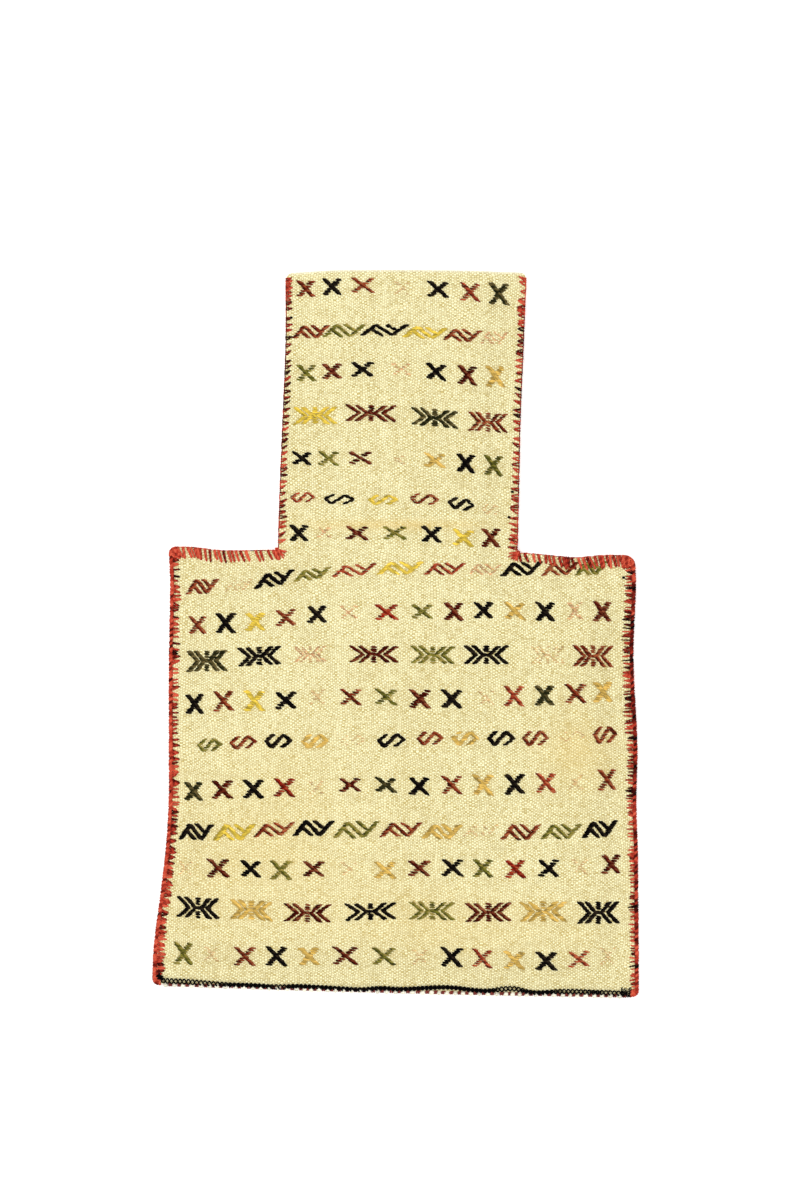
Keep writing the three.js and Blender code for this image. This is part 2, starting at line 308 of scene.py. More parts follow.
def groundFinish():
    look = groundLook
    finish, net = newFinish("ground_wool")
    place = net.add("ShaderNodeTexCoord", out="Object")
    x, y = net.parts(place)
    drift = net.noise(place, 45, 4)  # threads don't run quite straight
    slow = net.noise(place, 60, 4)
    across = x * (1 / (look["rib"] * mm)) + drift * look["ribDrift"]
    upward = y * (1 / (look["pick"] * mm)) + slow * look["pickDrift"]
    rib = across.maths("FLOOR")
    pick = upward.maths("FLOOR")
    ribCrown = 1 - (across.maths("FRACT") * 2 - 1) ** 2
    pickCrown = 1 - (upward.maths("FRACT") * 2 - 1) ** 2
    over = ((rib + pick) * 0.5).maths("FRACT") * 2  # 1 where the warp lies on top
    warp = ribCrown ** look["crown"] * pickCrown ** look["flank"]
    weft = pickCrown ** look["crown"] * ribCrown ** look["flank"] * look["weftHeight"]
    slub = net.noise(place, look["slubScale"], 3)
    height = (over * warp + (1 - over) * weft) * (0.6 + slub * 0.8)
    cell = net.add("ShaderNodeCombineXYZ", sockets={"X": rib, "Y": pick})
    spun = net.add("ShaderNodeTexWhiteNoise", dict(noise_dimensions="2D"), {"Vector": cell})
    ribTone = net.add("ShaderNodeTexWhiteNoise", dict(noise_dimensions="1D"), {"W": rib})
    clumps = net.noise(place, look["clumpScale"], 3)
    worn = net.noise(place, look["wearScale"], 3)
    # Painted shade: the cells where the weft lies on top sit lower and are drawn darker
    sunkWeftShade = (1 - over) * look["weftShade"]
    slubs = (slub - 0.5) * look["slubTone"]
    uneven = slubs + (clumps - 0.5) * look["clumpTone"] + (worn - 0.5) * look["wearTone"]
    spunTones = spun ** 3 * look["spunTone"]
    tone = sunkWeftShade + spunTones + ribTone * look["ribTone"] + uneven - look["paler"]
    thread = net.blend(tone, (*look["pale"], 1), (*look["deep"], 1))
    # Painted shade: where the weave's height is low, the colour goes towards the dark gap colour; the real
    # stains follow
    gapShade = (1 - height * look["gapShadeDepth"]).maths("MAXIMUM", 0)
    stainedAndGapShaded = net.blend(gapShade, thread, (*look["gap"], 1))
    for stain in stains:
        dx = (x - stain["x"] * mm) * (1 / (stain["wide"] * mm))
        dy = (y - stain["y"] * mm) * (1 / (stain["tall"] * mm))
        share = (0 - dx * dx - dy * dy).maths("EXPONENT") * stain["depth"] * (0.4 + worn)
        stainedAndGapShaded = net.blend(share, stainedAndGapShaded, (*look["stain"], 1))
    hem = net.attribute("hem") ** 3 * look["hemShare"]
    colour = net.blend(hem, stainedAndGapShaded, (*look["hem"], 1))
    woolSurface(net, colour, look["roughness"] - height * look["crownGloss"], height, look["relief"] * mm)
    return finish


yarnLook = dict(unevenScale=700, fibreScale=4200, unevenTone=0.14, fibreTone=0.5, deepest=0.5, palest=0.6,
                relief=0.12, unevenRelief=0.6, roughness=0.95, fibreGloss=0.1, sheen=0.01)


def yarnFinish(name, dyes, tone=0.5, plyTone=0.06):  # dyes are the stops of a ramp over the yarn's own dye
    look = yarnLook
    finish, net = newFinish(name)
    place = net.add("ShaderNodeTexCoord", out="Object")
    dye, shade, ply = (net.attribute(key) for key in ("dye", "shade", "ply"))
    uneven = net.noise(place, look["unevenScale"], 3)
    fibre = net.noise(place, look["fibreScale"], 2)
    dyed = dye + (ply - 0.5) * plyTone + (uneven - 0.5) * look["unevenTone"]
    ramp = net.add("ShaderNodeValToRGB", dict(stops=dyes), {"Fac": dyed})
    shaded = 1 - tone * look["deepest"] + shade * tone * look["palest"]
    value = shaded + (fibre - 0.5) * look["fibreTone"]
    colour = net.add("ShaderNodeHueSaturation", sockets={"Color": ramp, "Value": value})
    roughness = look["roughness"] - fibre * look["fibreGloss"]
    height = fibre + uneven * look["unevenRelief"]
    woolSurface(net, colour, roughness, height, look["relief"] * mm, sheen=look["sheen"])
    return finish


# Each figure yarn's colour as a screen shows it, and how far its strokes stray to darker and paler
figureDyes = dict(
    black=((9, 6, 6), 0.3), maroon=((86, 18, 8), 0.65), rust=((132, 45, 23), 0.75),
    coral=((166, 60, 37), 0.7), red=((152, 32, 18), 0.65), olive=((118, 115, 41), 0.7),
    darkOlive=((46, 45, 20), 0.6), yellow=((236, 205, 76), 0.32), gold=((222, 184, 92), 0.36),
    peach=((226, 174, 126), 0.25), faint=((226, 186, 132), 0.25),
)


fading = dict(darker=0.6, paler=0.5, towards=(238, 192, 128))


def dyeStops(colour, stray):  # darker, true and paler colour of one yarn
    colour = np.array(colour, float)
    darker = colour * (1 - fading["darker"] * stray)
    paler = colour + (np.array(fading["towards"]) - colour) * fading["paler"] * stray
    return [(0, linear(*darker)), (0.5, linear(*colour)), (1, linear(*paler))]


bindingDyes = [(0, linear(218, 98, 72)), (0.35, linear(180, 56, 40)), (0.65, linear(94, 22, 15)),
               (1, linear(10, 7, 7))]


# Node trees

def yarnTree():  # plies twisted along every line of a mesh
    tree = bpy.data.node_groups.new("twisted yarn", "GeometryNodeTree")
    net = Net(tree)
    given = net.inputs({
        "Lines": ("NodeSocketGeometry", None), "Ply radius": ("NodeSocketFloat", 0.5 * mm),
        "Ply spread": ("NodeSocketFloat", 0.4 * mm), "Twist length": ("NodeSocketFloat", 3 * mm),
        "Step": ("NodeSocketFloat", 0.7 * mm), "Sides": ("NodeSocketInt", 5),
        "Unevenness": ("NodeSocketFloat", 0.3), "Seed": ("NodeSocketFloat", 1.0),
        "Material": ("NodeSocketMaterial", None)})
    line = net.add("GeometryNodeMeshToCurve", sockets={"Mesh": given["Lines"]})
    line = net.add("GeometryNodeCurveSplineType", dict(spline_type="CATMULL_ROM"), {"Curve": line})
    line = net.add("GeometryNodeResampleCurve", dict(mode="LENGTH"), {"Curve": line, "Length": given["Step"]})
    along = net.add("GeometryNodeSplineParameter", out="Length")
    normal = net.add("GeometryNodeInputNormal")
    tangent = net.add("GeometryNodeInputTangent")
    side = net.vectors("CROSS_PRODUCT", tangent, normal)
    thick = net.named("thick")
    spread = given["Ply spread"] * thick * net.named("loose")
    place = net.add("GeometryNodeInputPosition")
    lumps = net.add("ShaderNodeTexNoise", dict(noise_dimensions="4D"),
                    {"Vector": place, "W": given["Seed"], "Scale": 320, "Detail": 1})
    plies = []
    for phase in (0, math.pi):
        angle = along / (given["Twist length"] * net.named("coil")) * fullTurn + phase
        over = net.scaled(normal, angle.maths("COSINE") * spread)
        beside = net.scaled(side, angle.maths("SINE") * spread)
        offset = net.vectors("ADD", over, beside)
        ply = net.add("GeometryNodeSetPosition", sockets={"Geometry": line, "Offset": offset})
        plies.append(net.add("GeometryNodeStoreNamedAttribute", dict(data_type="FLOAT", domain="POINT"),
                             {"Geometry": ply, "Name": "ply", "Value": phase / math.pi}))
    both = net.add("GeometryNodeJoinGeometry", sockets={"Geometry": plies})
    ring = net.add("GeometryNodeCurvePrimitiveCircle",
                   sockets={"Resolution": given["Sides"], "Radius": given["Ply radius"]})
    scale = thick * (1 + (lumps - 0.5) * given["Unevenness"])
    tube = net.add("GeometryNodeCurveToMesh",
                   sockets={"Curve": both, "Profile Curve": ring, "Scale": scale, "Fill Caps": True})
    net.result(tube, given["Material"])
    return tree


def stitchTree():  # one grain of yarn laid on every point of a mesh
    tree = bpy.data.node_groups.new("laid stitches", "GeometryNodeTree")
    net = Net(tree)
    given = net.inputs({
        "Points": ("NodeSocketGeometry", None), "Length": ("NodeSocketFloat", 3 * mm),
        "Width": ("NodeSocketFloat", 1.1 * mm), "Height": ("NodeSocketFloat", 0.9 * mm),
        "Sides": ("NodeSocketInt", 7), "Rings": ("NodeSocketInt", 6),
        "Unevenness": ("NodeSocketFloat", 0.12), "Seed": ("NodeSocketInt", 1),
        "Material": ("NodeSocketMaterial", None)})
    rod = net.add("GeometryNodeCurvePrimitiveLine", sockets={"Start": (-0.5, 0, 0), "End": (0.5, 0, 0)})
    rod = net.add("GeometryNodeResampleCurve", dict(mode="COUNT"), {"Curve": rod, "Count": given["Rings"]})
    along = net.add("GeometryNodeSplineParameter")
    plump = (1 - (along * 2 - 1) ** 4 * 0.93) ** 0.5  # full along its length and round at both ends
    ring = net.add("GeometryNodeCurvePrimitiveCircle", sockets={"Resolution": given["Sides"], "Radius": 0.5})
    grain = net.add("GeometryNodeCurveToMesh",
                    sockets={"Curve": rod, "Profile Curve": ring, "Scale": plump, "Fill Caps": True})
    size = net.add("ShaderNodeCombineXYZ",
                   sockets={"X": given["Length"], "Y": given["Width"], "Z": given["Height"]})
    grain = net.add("GeometryNodeTransform", sockets={"Geometry": grain, "Scale": size})
    turn = net.add("FunctionNodeEulerToRotation", sockets={"Euler": net.named("turn", "FLOAT_VECTOR")})
    least = net.add("ShaderNodeCombineXYZ", sockets={axis: 1 - given["Unevenness"] for axis in "XYZ"})
    most = net.add("ShaderNodeCombineXYZ", sockets={axis: 1 + given["Unevenness"] for axis in "XYZ"})
    grown = net.add("FunctionNodeRandomValue", dict(data_type="FLOAT_VECTOR"),
                    {0: least, 1: most, "Seed": given["Seed"]})
    size = net.vectors("MULTIPLY", grown, net.named("size", "FLOAT_VECTOR"))
    laid = net.add("GeometryNodeInstanceOnPoints",
                   sockets={"Points": given["Points"], "Instance": grain, "Rotation": turn, "Scale": size})
    shade = net.add("FunctionNodeRandomValue", dict(data_type="FLOAT"), {"Seed": given["Seed"]}, out=1)
    shaded = net.add("GeometryNodeStoreNamedAttribute", dict(data_type="FLOAT", domain="INSTANCE"),
                     {"Geometry": laid, "Name": "shade", "Value": shade})
    net.result(shaded, given["Material"])
    return tree


def meshObject(name, points, edges=(), faces=(), attributes=None):
    mesh = bpy.data.meshes.new(name)
    mesh.from_pydata((np.asarray(points, float) * mm).tolist(), edges, faces)
    for key, values in (attributes or {}).items():
        values = np.asarray(values, np.float32)
        kind, field = ("FLOAT_VECTOR", "vector") if values.ndim == 2 else ("FLOAT", "value")
        mesh.attributes.new(key, kind, "POINT").data.foreach_set(field, values.ravel())
    thing = bpy.data.objects.new(name, mesh)
    bpy.context.scene.collection.objects.link(thing)
    return thing


def settle(thing):  # the modifiers' result becomes a plain mesh
    graph = bpy.context.evaluated_depsgraph_get()
    shown = thing.evaluated_get(graph)
    mesh = bpy.data.meshes.new_from_object(shown, preserve_all_data_layers=True, depsgraph=graph)
    thing.modifiers.clear()
    thing.data = mesh
    mesh.name = thing.name
    return thing


def grow(thing, tree, values):  # a node tree's result on an object, as a plain mesh
    modifier = thing.modifiers.new(tree.name, "NODES")
    modifier.node_group = tree
    for item in tree.interface.items_tree:
        if item.in_out == "INPUT" and item.name in values:
            modifier[item.identifier] = values[item.name]
    return settle(thing)


def place(thing, slot, *nodes):
    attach(thing, "root")
    if nodes:
        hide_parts(*nodes)
    print(thing.name, len(thing.data.polygons), "faces")
    return thing


# Panels

panelMake = dict(step=2.9, inset=0.7, footInset=1.5, roundCorner=7, lipCorner=5, lip=1.9,
                 rimWidth=0.55, rimSteps=2, rimAngle=50)


def panelRows():
    def shares(length):
        return np.linspace(0, 1, math.ceil(length / panelMake["step"]) + 1)

    inset = panelMake["inset"]
    neckLeft = neckSections["left"][0] + inset
    neckRight = neckSections["right"][0] - inset
    flank = shares(neckLeft - pouchSections["left"][2])
    middle = neckLeft + (neckRight - neckLeft) * shares(neckRight - neckLeft)

    def pouchY(x, share):
        low = bottomY(x) + panelMake["footInset"]
        return low + (shoulderY(x) - inset - low) * share

    rows = []
    for share in shares(shoulderEdge["y"][0] - bottomEdge["y"][1]):
        left = pouchX("left", pouchY(pouchX("left", 0), share)) + inset
        right = pouchX("right", pouchY(pouchX("right", 0), share)) - inset
        x = np.concatenate((left + (neckLeft - left) * flank, middle[1:-1],
                            (right + (neckRight - right) * flank)[::-1]))
        rows.append(np.stack((x, pouchY(x, share)), axis=1))
    skipped = np.full((len(flank) - 1, 2), np.nan)
    for share in shares(mouthEdge["y"][1] - shoulderEdge["y"][0])[1:]:
        guide = neckSections["y"][0] + (neckSections["y"][-1] - neckSections["y"][0]) * share
        left = neckX("left", guide) + inset
        right = neckX("right", guide) - inset
        x = left + (right - left) * shares(neckRight - neckLeft)
        low = shoulderY(x) - inset
        row = np.stack((x, low + (mouthY(x) - low) * share), axis=1)
        rows.append(np.concatenate((skipped, row, skipped)))
    return np.array(rows)


def roundCorners(rows):  # the pouch's four outer corners and the neck's two, drawn into arcs
    x, y = rows[..., 0], rows[..., 1]
    inset = panelMake["inset"]
    tiny, far = 1e-9, 1e3
    inNeck = y > shoulderY(x) - inset + 1e-6  # a row on the shoulder belongs to the pouch
    radius = np.where(inNeck, panelMake["lipCorner"], panelMake["roundCorner"])
    left = np.where(inNeck, neckX("left", y), pouchX("left", y)) + inset
    right = np.where(inNeck, neckX("right", y), pouchX("right", y)) - inset
    fromSide = np.minimum(x - left, right - x)
    inward = np.where(x - left < right - x, 1, -1)
    foot = y - bottomY(x) - panelMake["footInset"]
    shoulder = np.where(inNeck, mouthY(x) - y, shoulderY(x) - inset - y)
    shoulder = np.where(~inNeck & (x > left + radius) & (x < right - radius), far, shoulder)
    fromCross = np.minimum(foot, shoulder)
    upward = np.where(foot < shoulder, 1, -1)
    a = np.clip(radius - fromSide, 0, radius)
    b = np.clip(radius - fromCross, 0, radius)
    reach = np.hypot(a, b)
    keep = np.where(reach > tiny, np.maximum(a, b) / np.maximum(reach, tiny), 1)
    keep = np.where((a > 0) & (b > 0), keep, 1)
    rows[..., 0] = x + inward * a * (1 - keep)
    rows[..., 1] = y + upward * b * (1 - keep)
    return rows


def panel(name, height, finish):
    rows = roundCorners(panelRows())
    used = ~np.isnan(rows[..., 0])
    number = np.full(used.shape, -1)
    number[used] = np.arange(used.sum())
    corners = np.stack((number[:-1, :-1], number[:-1, 1:], number[1:, 1:], number[1:, :-1]), axis=-1)
    faces = corners[(corners >= 0).all(axis=-1)].tolist()
    plan = rows[used]
    points = np.column_stack((plan, height(plan[:, 0], plan[:, 1])))
    hem = np.exp(-np.maximum(0, mouthY(plan[:, 0]) - plan[:, 1]) / panelMake["lip"])  # 1 at the mouth
    sheet = meshObject(name, points, faces=faces, attributes=dict(hem=hem))
    sheet.data.materials.append(finish)
    sheet.data.shade_smooth()
    wall = sheet.modifiers.new("wall", "SOLIDIFY")
    wall.thickness = bag["panelWall"] * mm
    wall.offset = -1
    rim = sheet.modifiers.new("rim", "BEVEL")
    rim.width = panelMake["rimWidth"] * mm
    rim.segments = panelMake["rimSteps"]
    rim.limit_method = "ANGLE"
    rim.angle_limit = math.radians(panelMake["rimAngle"])
    return settle(sheet)


ground = groundFinish()
front = place(panel("front_cloth", frontTop, ground), "ground_wool", "front_panel")
back = place(panel("back_cloth", backTop, ground), "ground_wool", "back_panel")
print("panels made")


# Brocaded figures, a row for each band up the bag, with the centre and size of every figure in it
bands = (
    dict(figure="cross", yarns="rust black rust faint black coral darkOlive",
         x=(-66.5, -47, -24, 5, 31.5, 55, 76.5), y=(255, 256, 257, 255, 254, 252, 251),
         wide=(13.5, 14, 17.5, 13.5, 16, 15, 15), tall=(12, 12, 11, 10.5, 12, 14, 15.5)),
    dict(figure="hook", yarns="rust olive black yellow rust peach",
         x=(-62.5, -38, -8, 22, 49.5, 73), y=(223, 223.5, 224, 222, 220, 218.5),
         wide=(28, 32.5, 36, 33, 29, 22), tall=(10, 9.5, 8.5, 8.5, 9.5, 10)),
    dict(figure="cross", yarns="olive maroon black peach black maroon gold",
         x=(-66, -47, -24.5, 4, 30, 53, 74), y=(192.5, 193.5, 195, 195, 193, 190.5, 190),
         wide=(15, 14, 17, 16, 15, 14, 14), tall=(12, 12, 11, 9.5, 13, 14.5, 15)),
    dict(figure="comb", yarns="yellow maroon darkOlive rust",
         x=(-59.5, -18, 29, 68.5), y=(161, 162.5, 159, 156),
         wide=(32.5, 38, 34.5, 29.5), tall=(12.5, 12, 15.5, 15)),
    dict(figure="cross", yarns="black olive maroon faint gold black olive",
         x=(-69.5, -49.5, -26, 2, 29, 52, 72.5), y=(129.5, 129, 129.5, 128, 127.5, 125.5, 124),
         wide=(15, 15.5, 18.5, 12, 15.5, 13.5, 14), tall=(9.5, 10.5, 9.5, 7.5, 11, 14.5, 15)),
    dict(figure="ess", yarns="coral black yellow rust black faint",
         x=(-68.5, -41.5, -9, 21.5, 48.5, 71), y=(100.5, 99, 98.5, 99, 95.5, 91.5),
         wide=(20, 24.5, 23.5, 23, 20.5, 16), tall=(8, 8, 7.5, 9.5, 11, 9)),
    dict(figure="cross", yarns="black peach maroon olive black yellow maroon",
         x=(-71.5, -53, -28.5, -0.5, 26.5, 50, 70.5), y=(74, 74.5, 74, 74, 73, 70.5, 70.5),
         wide=(14, 12.5, 17.5, 18.5, 15, 15, 13.5), tall=(11.5, 8, 10, 10, 12, 12, 13.5)),
    dict(figure="hook", yarns="rust faint black olive coral yellow coral peach black rust olive",
         x=(-143, -116, -89.5, -61.5, -30.5, 3.5, 36.5, 66, 93.5, 122, 145),
         y=(34.5, 35.5, 40, 43.5, 46.5, 48, 47.5, 47, 47.5, 47.5, 48),
         wide=(24.5, 22, 29, 27.5, 33.5, 34.5, 31, 26.5, 31, 28, 23.5),
         tall=(11.5, 10.5, 14.5, 11, 10.5, 9.5, 9, 9, 11, 10.5, 10.5)),
    dict(figure="cross",
         yarns="rust black yellow rust black peach red olive maroon black gold black peach maroon",
         x=(-146.5, -125.5, -103.5, -81, -58, -34.5, -6.5, 19.5, 43, 65, 88, 110.5, 132.5, 153),
         y=(6, 7.5, 8.5, 11.5, 14, 15.5, 15.5, 16, 16, 17, 16.5, 16, 16.5, 16),
         wide=(13.5, 14.5, 13.5, 15, 14.5, 15, 17, 16, 14, 14, 15.5, 14, 12.5, 13.5),
         tall=(13, 14.5, 13.5, 13.5, 13, 10.5, 11.5, 10.5, 13, 12, 12.5, 14, 13.5, 14.5)),
    dict(figure="comb", yarns="darkOlive black peach maroon olive black faint rust",
         x=(-139.5, -100.5, -63, -16, 27.5, 67, 112.5, 146),
         y=(-20.5, -17, -15.5, -15.5, -16, -16, -16, -17),
         wide=(30, 32, 25, 36, 33, 33, 26.5, 30.5), tall=(16, 15.5, 12.5, 12, 13, 13.5, 13.5, 16)),
    dict(figure="cross",
         yarns="black rust yellow black faint rust olive maroon black faint coral darkOlive rust gold",
         x=(-148.5, -127, -104, -81, -58, -33, -7, 18, 41.5, 67, 87.5, 110, 133, 153.5),
         y=(-52.5, -50, -50, -49.5, -47, -47, -47, -48.5, -48.5, -48, -46.5, -46, -44.5, -43.5),
         wide=(13.5, 15, 15, 16, 13.5, 16, 16.5, 15.5, 15.5, 13.5, 15, 14, 15.5, 14),
         tall=(15, 15.5, 15, 13.5, 12, 12, 12, 13.5, 13.5, 12, 15.5, 15, 14.5, 15.5)),
    dict(figure="ess", yarns="olive rust black gold faint black rust gold black rust faint rust",
         x=(-137.5, -112.5, -86.5, -59.5, -31.5, -3, 25.5, 51.5, 78, 103.5, 130.5, 155),
         y=(-82.5, -80.5, -79.5, -79.5, -79, -79, -77.5, -77.5, -77.5, -77.5, -76, -75),
         wide=(19, 21, 21.5, 20.5, 20.5, 22, 20.5, 20.5, 21.5, 20.5, 22, 19),
         tall=(10.5, 11, 10.5, 10.5, 9, 10.5, 10.5, 10, 11, 11.5, 9, 12.5)),
    dict(figure="cross",
         yarns="darkOlive maroon black red faint maroon darkOlive black rust gold black coral faint rust",
         x=(-149.5, -128, -105, -82, -58.5, -33.5, -7, 17.5, 41.5, 64.5, 88, 111, 133, 156.5),
         y=(-117, -115.5, -115, -114, -114, -112, -112, -113, -112, -112, -111.5, -110.5, -110, -108.5),
         wide=(13.5, 15, 15, 15.5, 12.5, 16, 16, 15, 15.5, 15, 15, 15, 12.5, 14),
         tall=(13.5, 13.5, 13.5, 13.5, 10.5, 10.5, 11, 12.5, 13.5, 15, 15.5, 14.5, 12, 16)),
    dict(figure="hook", yarns="black yellow rust black olive rust gold faint rust olive black",
         x=(-147.5, -119, -89.5, -60.5, -29, 4, 34.5, 63, 92.5, 122.5, 151),
         y=(-147, -147, -145, -144, -145, -145, -146.5, -146, -147, -146.5, -145),
         wide=(26, 31, 30.5, 30.5, 34, 31.5, 29.5, 28, 29.5, 30.5, 26.5),
         tall=(12, 12, 11.5, 11.5, 12.5, 11, 11, 9.5, 12, 11.5, 12.5)),
    dict(figure="cross",
         yarns="faint maroon black olive maroon faint gold maroon black olive red black faint maroon",
         x=(-155.5, -131, -107, -84.5, -60.5, -34.5, -7.5, 17.5, 42, 64.5, 88.5, 113, 136, 159.5),
         y=(-174, -173.5, -174, -175, -174, -174, -175, -173.5, -173, -173.5, -174, -173.5, -172.5, -171),
         wide=(13.5, 16.5, 15, 16, 15.5, 13.5, 16, 16, 16, 15, 15, 15.5, 13.5, 14),
         tall=(10.5, 13.5, 12, 14, 11, 10.5, 12, 11.5, 12.5, 13, 13.5, 12.5, 12, 14)),
    dict(figure="comb", yarns="black gold maroon black olive maroon gold black",
         x=(-146, -106.5, -65, -18.5, 27, 68.5, 109, 150),
         y=(-203, -204.5, -206.5, -205.5, -205, -206, -205.5, -206.5),
         wide=(31.5, 31, 34.5, 38.5, 34, 34, 34.5, 31.5), tall=(15.5, 15.5, 13.5, 13.5, 13.5, 14.5, 15, 16)),
    dict(figure="cross",
         yarns="olive faint rust black gold maroon olive faint black coral gold black coral faint",
         x=(-157, -136, -111.5, -88, -64, -37, -8.5, 18, 41.5, 64, 88, 111.5, 135.5, 157),
         y=(-237, -237.5, -239, -239, -239, -238.5, -239, -239.5, -239.5, -240.5, -242, -242.5, -241, -239),
         wide=(14, 12.5, 16, 16, 15, 18.5, 17.5, 13.5, 16, 15, 15.5, 15.5, 16, 13.5),
         tall=(16.5, 12, 14.5, 15, 13.5, 13.5, 13.5, 12, 15, 15, 14, 14, 13.5, 13.5)),
)

# Strokes of each figure in its own box, from 0 to 1 across and up
figureStrokes = dict(
    cross=(((0, 0), (1, 1)), ((0, 1), (1, 0))),
    hook=(((0, 0), (0.3, 0.95)), ((0.2, 0.55), (0.44, 0.02)), ((0.3, 0.95), (0.66, 0.05)),
          ((0.53, 0.98), (0.76, 0.5)), ((0.66, 0.05), (1, 1))),
    ess=(((0.3, 1), (0.02, 0.5)), ((0.02, 0.5), (0.24, 0)), ((0.24, 0), (0.7, 0.97)),
         ((0.7, 0.97), (0.98, 0.5)), ((0.98, 0.5), (0.64, 0))),
    comb=(((0, 1), (0.25, 0.5)), ((0.25, 0.5), (0, 0)), ((0.2, 1), (0.42, 0.5)), ((0.42, 0.5), (0.2, 0)),
          ((0.8, 1), (0.58, 0.5)), ((0.58, 0.5), (0.8, 0)), ((1, 1), (0.75, 0.5)), ((0.75, 0.5), (1, 0)),
          ((0.5, 1.02), (0.5, 0.64)), ((0.5, 0.36), (0.5, -0.02)), ((0.46, 0.5), (0.54, 0.5))),
)
# A stroke that falls to the right has its stitches along it, and one that rises has them across it
figureMake = dict(rowPitch=1.6, length=4.0, width=1.62, height=1.15, lift=0.3, wander=0.14,
                  # rungShade is painted shade: every other stitch along a stroke is drawn darker and the next
                  # paler, as the shade between stitches
                  strokeTone=0.17, rungShade=0.2, rungStray=0.12, laneTone=0.24, tone=0.85,
                  leanReach=9, leanStray=0.02, slantStray=5, longStray=(0.86, 1.12), seed=5,
                  endTrim=0.8, leanTrim=0.9, topTrim=0.3,  # strokes stop short by their stitches' ends
                  sides=6, rings=5, unevenness=0.12,
                  falling=dict(slant=-32, long=0.92, lanes=(-0.8, 0.8)),
                  rising=dict(slant=14, long=0.98, lanes=(-0.5, 0.5)),
                  stepped=dict(slant=-9, long=0.88, lanes=(-0.55, 0.55)),  # a cross's rising stroke
                  upright=dict(slant=-5, long=1.0, lanes=(0,)))
figureThick = dict(black=1.16, maroon=1.24, rust=1.12, coral=1.08, red=1.16, olive=1.14, darkOlive=1.18,
                   yellow=1.32, gold=1.28, peach=0.62, faint=0.52)
# Share of the width for yarns whose stitches stand apart, and of the size for finer figures
figureSlim = dict(maroon=0.82, rust=0.8, coral=0.8, red=0.82, olive=0.8, yellow=0.8, gold=0.84)
figureFine = dict(ess=0.9, comb=0.93, hook=0.95)
knots = ((-77.4, 233.6), (86.5, 104.6), (84, 85.8), (168.9, 41.1))  # ends of black yarn, in x and y
knotLength = 0.55  # share of a stitch
figureWorn = dict(peach=0.15, faint=0.35, gold=0.06)  # share of the stitches that are worn away


def surfaceTurn(x, y, slant):  # turns a stitch into the face's own slope
    step = 0.5
    slopeX = (frontTop(x + step, y) - frontTop(x - step, y)) / (2 * step)
    slopeY = (frontTop(x, y + step) - frontTop(x, y - step)) / (2 * step)
    turns = []
    for sx, sy, angle in zip(slopeX, slopeY, slant):
        normal = np.array((-sx, -sy, 1)) / math.sqrt(sx * sx + sy * sy + 1)
        along = np.array((math.cos(angle), math.sin(angle), 0))
        along = along - normal * along.dot(normal)
        along = along / np.linalg.norm(along)
        turns.append(Matrix(np.column_stack((along, np.cross(normal, along), normal))).to_euler())
    return np.array(turns)


def strokeWay(figure, step):
    if abs(step[0]) < 0.1 * abs(step[1]):
        return "upright"
    if step.prod() <= 0:
        return "falling"
    return "stepped" if figure == "cross" else "rising"


def figureStitches(figure, box, lean, worn, random):  # x, y, slant, length, dye and size of each stitch
    make = figureMake
    fine = figureFine.get(figure, 1)
    x, y, wide, tall = box
    lean = lean + make["leanStray"] * random.standard_normal()
    tilt = max(lean, 0) if figure == "hook" else abs(lean)
    span = np.array((wide - make["endTrim"] * fine * make["length"],
                     tall - make["leanTrim"] * tilt * wide - make["topTrim"]))
    rows = []
    for start, end in figureStrokes[figure]:
        start = (np.array(start) - 0.5) * span
        end = (np.array(end) - 0.5) * span
        step = end - start
        way = make[strokeWay(figure, step)]
        count = max(2, round(abs(step[1]) / make["rowPitch"]))
        share = (np.arange(count) + 0.5) / count
        dye = 0.5 + make["strokeTone"] * random.standard_normal()
        for lane in way["lanes"]:
            spots = start + step * share[:, None] + (lane * fine, 0)
            spots[:, 1] += lean * spots[:, 0]
            spots += make["wander"] * random.standard_normal(spots.shape)
            slant = np.radians(way["slant"] + make["slantStray"] * random.standard_normal(count))
            stray = make["rungStray"] * random.standard_normal(count)
            # Painted shade: every other stitch is drawn darker and the next paler, with a random stray on top
            rungShadeAndStray = make["rungShade"] * (-1) ** np.arange(count) + stray
            dyes = np.clip(dye + rungShadeAndStray + make["laneTone"] * np.sign(lane), 0, 1)
            long = way["long"] * random.uniform(*make["longStray"], count)
            kept = random.random(count) >= worn
            rows.append(np.column_stack((spots + (x, y), slant, long, dyes, np.full(count, fine)))[kept])
    return np.concatenate(rows)


def figureRows():
    random = np.random.default_rng(figureMake["seed"])
    stitches = {yarn: [] for yarn in figureDyes}
    reach = figureMake["leanReach"]
    for band in bands:
        boxes = zip(band["x"], band["y"], band["wide"], band["tall"])
        for box, yarn in zip(boxes, band["yarns"].split()):
            near = through(band, "x", "y", np.array((box[0] - reach, box[0] + reach)))
            lean = (near[1] - near[0]) / (2 * reach)
            worn = figureWorn.get(yarn, 0)
            stitches[yarn].append(figureStitches(band["figure"], box, lean, worn, random))
    dots = np.array([(*knot, 0, knotLength, 0.5, 1) for knot in knots])
    stitches["black"].append(dots)
    return {yarn: np.concatenate(rows) for yarn, rows in stitches.items()}


